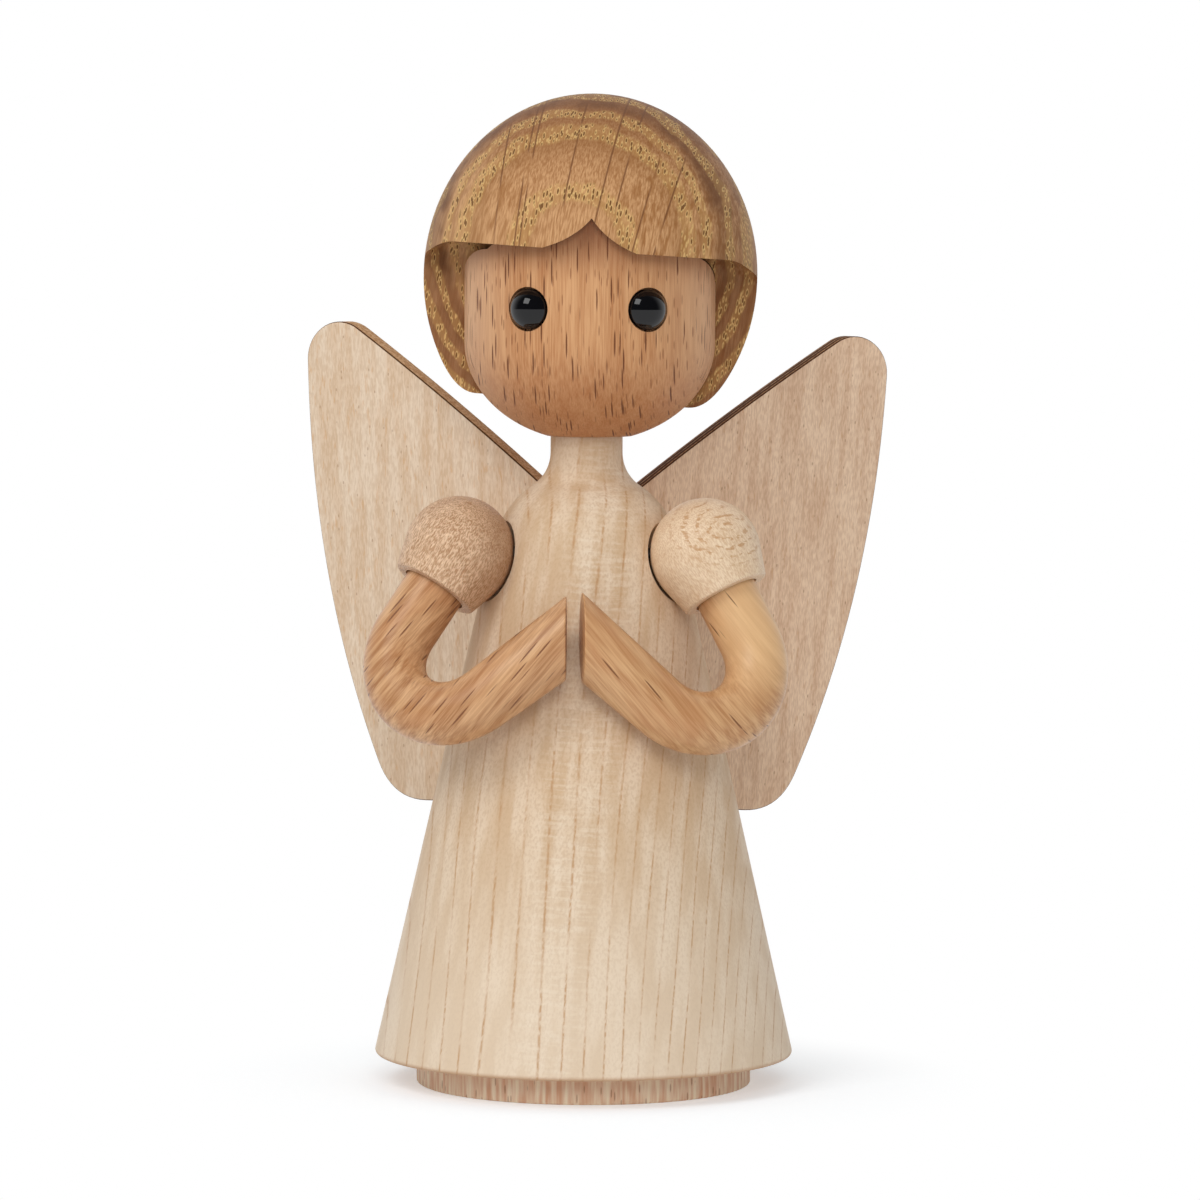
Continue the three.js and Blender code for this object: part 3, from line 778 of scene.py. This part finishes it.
sleeve_cut = 7
sleeve_pocket = 2
sleeve_skirt = radians(16)
sleeve_lip = 0.5
arm_radius = 4.7
arm_peg_radius = 1.8
arm_peg_in_sleeve = 3
pin_tip = 2.4
arm_start = sleeve_cut - sleeve_pocket + seat_gap
# The side of each arm, and its swing, splay, twist and turn of the palm in degrees
arm_sets = {"left": (-1, -19.8, 30.9, -23.3, -3), "right": (1, -12.3, 27.5, -28.4, 9)}


def arm_place(label):
    """The place of a sleeve and its arm, from the middle of the ball."""
    side, swing, splay, twist, _ = arm_sets[label]
    place = Matrix.Translation(shoulders[label] * mm) @ Matrix.Rotation(radians(swing), 4, "X")
    place = place @ Matrix.Rotation(radians(-side * splay), 4, "Y")
    return place @ Matrix.Rotation(radians(-side * twist), 4, "Z")


lip_height = sleeve_lip - sleeve_cut
lip_centre = (sleeve_radius - sleeve_lip + lip_height * sin(sleeve_skirt)) / cos(sleeve_skirt)
pocket_radius = arm_radius + seat_gap
peg_radius = arm_peg_radius + seat_gap
peg_top = arm_peg_in_sleeve - arm_start + seat_gap
sleeve_profile = [
    (0, peg_top),
    (peg_radius, peg_top),
    (peg_radius, sleeve_pocket - sleeve_cut),
    (pocket_radius, sleeve_pocket - sleeve_cut),
    (pocket_radius, -sleeve_cut),
    *arc(lip_centre, lip_height, sleeve_lip, -pi / 2, -sleeve_skirt, 6),
    *arc(0, 0, sleeve_radius, -sleeve_skirt, pi / 2, 48),
]
pin_reach = shoulder_spread - pin_tip + seat_gap
pin_bore = bore(pin_radius + turn_gap, -pin_reach, pin_reach)

knot_place = Vector((3.6, -8, 4.2))
# The slot, the turn of the grain, the roughness, the relief and two colours of each sleeve
sleeve_looks = {
    "left": ("sleeve_dark", (0, 32, 0), 0.42, 0.07, colour(186, 138, 98), colour(246, 210, 174)),
    "right": ("sleeve_pale", (0, -35, 0), 0.36, 0.025, colour(222, 186, 148), colour(246, 220, 188)),
}
for label, (slot, across_grain, roughness, relief, low, high) in sleeve_looks.items():
    end_grain = Finish("sleeve_maple_" + label, roughness, 0.45)
    weave = end_grain.streaks((0.2, 0.2, 0.7), across_grain, 0.36, 0.64)
    patches = end_grain.streaks((2, 2, 3), across_grain, 0.35, 0.65)
    tint = end_grain.mix(weave * 0.8 + patches * 0.2, low, high)
    if label == "left":
        # Painted shade: the right side of the ball, towards the dress and away from the key light, is
        # darker.
        painted_shade_across = end_grain.measures(upright, shoulders[label])[0]
        tint = end_grain.mix(end_grain.step(painted_shade_across, 0, 8) * 0.5, tint, colour(158, 106, 66))
    else:
        knot = shoulders[label] + knot_place
        ring_across, ring_depth, ring_height = end_grain.measures(upright, knot)
        spread = (ring_across * ring_across * 0.4 + ring_height * ring_height).math("SQRT")
        ripple = end_grain.noise((2.5, 2.5, 1.4)) * 1.6
        ring = ((spread + ripple) * 0.8).math("PINGPONG", 0.5)
        broken = end_grain.streaks((1.4, 1.4, 0.5), upright, 0.42, 0.55)
        near = (1 - end_grain.step(spread, 4, 7)) * (1 - end_grain.step(ring_depth, 4, 8))
        ring = (1 - end_grain.step(ring, 0.08, 0.2)) * broken * near
        tint = end_grain.mix(ring * 0.65, tint, colour(192, 136, 80))
    end_grain.paint(tint, weave * relief)
    sleeve = placed(turned(sleeve_profile, 96), arm_place(label))
    sleeve = carved(sleeve, [placed(pin_bore.copy(), pin_place)])
    add_piece("sleeve_" + label, sleeve, label + "_arm", slot, end_grain, sharp=40)
pin_bore.free()

# Arms
# Two bent rods of oiled beech with a flat palm, pegged into the pockets of the sleeves.

arm_reach = 14.55
arm_bend = 9.9
arm_bend_angle = radians(154.7)
forearm = 22
forearm_flare = 0.45
palm_gap = 2.4
hand_forward = 24
palm_round = 0.3
arm_peg_in_arm = 6


def arm_rod(label):
    """A rod down from the ball, bent inwards, a little flared, and cut off flat by the palm."""
    side, *_, palm_turn = arm_sets[label]
    shape = bmesh.new()
    top = Matrix.Translation((0, 0, -arm_start * mm))
    rim = {"cap_ends": True, "segments": 64, "radius": arm_radius * mm, "matrix": top}
    ring = bmesh.ops.create_circle(shape, **rim)["verts"]
    edges = list({edge for vert in ring for edge in vert.link_edges})

    def extend(edges, vec):
        made = bmesh.ops.extrude_edge_only(shape, edges=edges)["geom"]
        bmesh.ops.translate(shape, verts=only(made, bmesh.types.BMVert), vec=vec)
        return only(made, bmesh.types.BMEdge)

    edges = extend(edges, (0, 0, (arm_start - arm_reach) * mm))
    verts = list({vert for edge in edges for vert in edge.verts})
    bent = bmesh.ops.spin(
        shape,
        geom=verts + edges,
        cent=(-side * arm_bend * mm, 0, -arm_reach * mm),
        axis=(0, side, 0),
        angle=arm_bend_angle,
        steps=40,
    )["geom_last"]
    edges = only(bent, bmesh.types.BMEdge)
    way = Vector((-side * sin(arm_bend_angle), 0, -cos(arm_bend_angle)))
    wrist = extend(edges, way * forearm * mm)
    verts = list({vert for edge in wrist for vert in edge.verts})
    middle = sum((vert.co for vert in verts), Vector()) / len(verts)
    wider = [1 + forearm_flare / arm_radius] * 3
    bmesh.ops.scale(shape, verts=verts, vec=wider, space=Matrix.Translation(-middle))
    placed(shape, arm_place(label))
    palm_point = Vector((side * palm_gap / 2, -hand_forward, pivot_height)) * mm
    palm_way = Matrix.Rotation(radians(side * palm_turn), 3, "Z") @ Vector((-side, 0, 0))
    parts = shape.verts[:] + shape.edges[:] + shape.faces[:]
    plane = {"plane_co": palm_point, "plane_no": palm_way, "clear_outer": True}
    cut = bmesh.ops.bisect_plane(shape, geom=parts, **plane)
    rim = only(cut["geom_cut"], bmesh.types.BMEdge)
    bmesh.ops.edgeloop_fill(shape, edges=rim)
    bmesh.ops.recalc_face_normals(shape, faces=shape.faces)
    rounded(shape, [edge for edge in rim if edge.is_valid], palm_round, 5)
    return shape


# The turn of the grain, the share of flecks and two colours of each arm
arm_looks = {
    "left": ((0, 40, 0), 0.75, colour(174, 119, 75), colour(226, 178, 131)),
    "right": ((0, -40, 0), 0.12, colour(186, 132, 86), colour(222, 176, 128)),
}
for label, (turn, fleck_share, low, high) in arm_looks.items():
    oiled = Finish("oiled_beech_" + label, 0.38, 0.4)
    fibres = oiled.streaks((0.2, 1.2, 6), turn, 0.35, 0.65)
    stripes = oiled.streaks((0.9, 3, 14), turn, 0.35, 0.65)
    clouds = oiled.streaks((3, 3, 12), turn, 0.4, 0.7)
    flecks = oiled.flecks((0.55, 5, 9), turn, 0.28, fleck_share)
    tint = oiled.mix(fibres * 0.45 + stripes * 0.55, low, high)
    tint = oiled.mix(clouds * 0.4, tint, colour(198, 138, 90))
    if label == "right":
        across, _, height = oiled.measures()
        upper = oiled.step(height, 58, 68) * oiled.step(across, 17, 22)
        tint = oiled.mix(upper * 0.6, tint, colour(240, 198, 146))
    tint = oiled.mix(flecks * 0.8, tint, colour(116, 66, 36))
    oiled.paint(tint, fibres * 0.006 - flecks * 0.03)
    peg_hole = bore(arm_peg_radius + seat_gap, -arm_start - arm_peg_in_arm - seat_gap, 0)
    arm = carved(arm_rod(label), [placed(peg_hole, arm_place(label))])
    add_piece("arm_" + label, arm, label + "_arm", "arms", oiled, sharp=40)

# Dowels, pegs and the shoulder pin
# The neck dowel and the arm pegs are birch rod, glued in at one end or both.
# The pin across the shoulders is drawn steel. All are hidden inside the figure.

birch = Finish("birch_dowel", 0.6)
fibres = birch.streaks((0.4, 0.4, 6), upright, 0.3, 0.7)
birch.paint(birch.mix(fibres, colour(206, 176, 132), colour(228, 202, 162)), fibres * 0.01)
drawn_steel = Finish("drawn_steel", 0.5, 0.5)
drawn_steel.shader.inputs["Base Color"].default_value = colour(96, 96, 98)
drawn_steel.shader.inputs["Metallic"].default_value = 1
hidden = {
    "neck_dowel": birch,
    "arm_peg_left": birch,
    "arm_peg_right": birch,
    "shoulder_pin": drawn_steel,
}
for name, finish in hidden.items():
    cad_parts[name].data.materials.clear()
    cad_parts[name].data.materials.append(finish.material)

# Floor
# White paper that keeps the figure's soft shadow and runs into the white background further out.

floor_half_width = 6
paper_white = (0.79, 0.83, 0.865, 1)
paper_glow = 0.1
seen_glow = 0.28
fade = (28, 64)

floor_shape = bmesh.new()
bmesh.ops.create_grid(floor_shape, x_segments=1, y_segments=1, size=floor_half_width)
floor_mesh = bpy.data.meshes.new("floor")
floor_shape.to_mesh(floor_mesh)
floor_shape.free()
floor = bpy.data.objects.new("floor", floor_mesh)
bpy.context.scene.collection.objects.link(floor)
paper = Finish("white_paper", 0.9, 0)
paper.shader.inputs["Base Color"].default_value = paper_white
path = paper.node("LightPath", {}).socket.node
kinds = ("Is Camera Ray", "Is Glossy Ray", "Is Transmission Ray")
seen = [Value(paper, path.outputs[kind]) for kind in kinds]
seen = (seen[0] + seen[1] + seen[2]).math("MINIMUM", 1)
white = (1, 1, 1, 1)
glow = paper.node("Emission", {"Color": white, "Strength": seen * seen_glow + paper_glow})
lit = paper.node("AddShader", {0: Value(paper, paper.shader.outputs[0]), 1: glow})
bright = paper.node("Emission", {"Color": white, "Strength": 1})
across, depth, _ = paper.measures()
reach = (across * across + depth * depth).math("SQRT")
faded = paper.node("MixShader", {0: paper.step(reach, *fade) * seen, 1: lit, 2: bright})
paper.tree.links.new(faded.socket, paper.tree.nodes["Material Output"].inputs["Surface"])
floor_mesh.materials.append(paper.material)

# Light
# A large soft box high at the front left, a weaker one straight ahead, and a white room.
# Gloss sees the white background behind the figure and a dark studio behind the camera.

room_level = 0.48
dark_level = 0.05

world = bpy.data.worlds.new("studio")
bpy.context.scene.world = world
world.use_nodes = True


class Room(Finish):
    """The world's nodes, added as a material's are."""

    def __init__(self, world):
        self.tree = world.node_tree


room = Room(world)
path = room.node("LightPath", {}).socket.node
camera_ray, glossy_ray, clear_ray = [Value(room, path.outputs[kind]) for kind in kinds]
ways = room.axes(room.node("TexCoord", {}, out="Generated"))
behind = room.step(ways[1], -0.3, 0.5) * (1 - dark_level) + dark_level
sent = (camera_ray + clear_ray).math("MINIMUM", 1)
level = sent + glossy_ray * behind + (1 - (sent + glossy_ray)) * room_level
background = world.node_tree.nodes["Background"]
background.inputs["Color"].default_value = white
world.node_tree.links.new(level.socket, background.inputs["Strength"])


def soft_box(name, place, size, watts):
    """A square lamp that faces the shoulders."""
    lamp = bpy.data.lights.new(name, "AREA")
    lamp.shape = "SQUARE"
    lamp.size = size
    lamp.energy = watts
    box = bpy.data.objects.new(name, lamp)
    box.location = place
    aim = Vector((0, 0, shoulder_height * mm))
    box.rotation_euler = (aim - Vector(place)).to_track_quat("-Z", "Y").to_euler()
    bpy.context.scene.collection.objects.link(box)
    return box


soft_box("key_box", place=(-0.6, -0.88, 1), size=0.65, watts=5.8)
fill_box = soft_box("fill_box", place=(0.12, -1.2, 0.6), size=0.4, watts=3.4)
fill_box.visible_glossy = False

# Camera
# A long lens at the height of the brow, a little to the right of straight ahead.

camera_distance = 883
camera_height = 129
camera_turn = radians(4)
camera_roll = radians(0.3)
aim_height = 73.4
aim_right = 2.15

lens = bpy.data.cameras.new("camera")
lens.sensor_width = 36
lens.lens = 175.1
camera = bpy.data.objects.new("camera", lens)
bpy.context.scene.collection.objects.link(camera)
towards = Vector((sin(camera_turn), -cos(camera_turn), 0))
sideways = Vector((cos(camera_turn), sin(camera_turn), 0))
stand = (towards * camera_distance + Vector((0, 0, camera_height))) * mm
aim = (sideways * aim_right + Vector((0, 0, aim_height))) * mm
look = (aim - stand).to_track_quat("-Z", "Y").to_matrix().to_4x4()
camera.matrix_world = Matrix.Translation(stand) @ look @ Matrix.Rotation(camera_roll, 4, "Z")
bpy.context.scene.camera = camera
bpy.context.scene.view_settings.view_transform = "Standard"
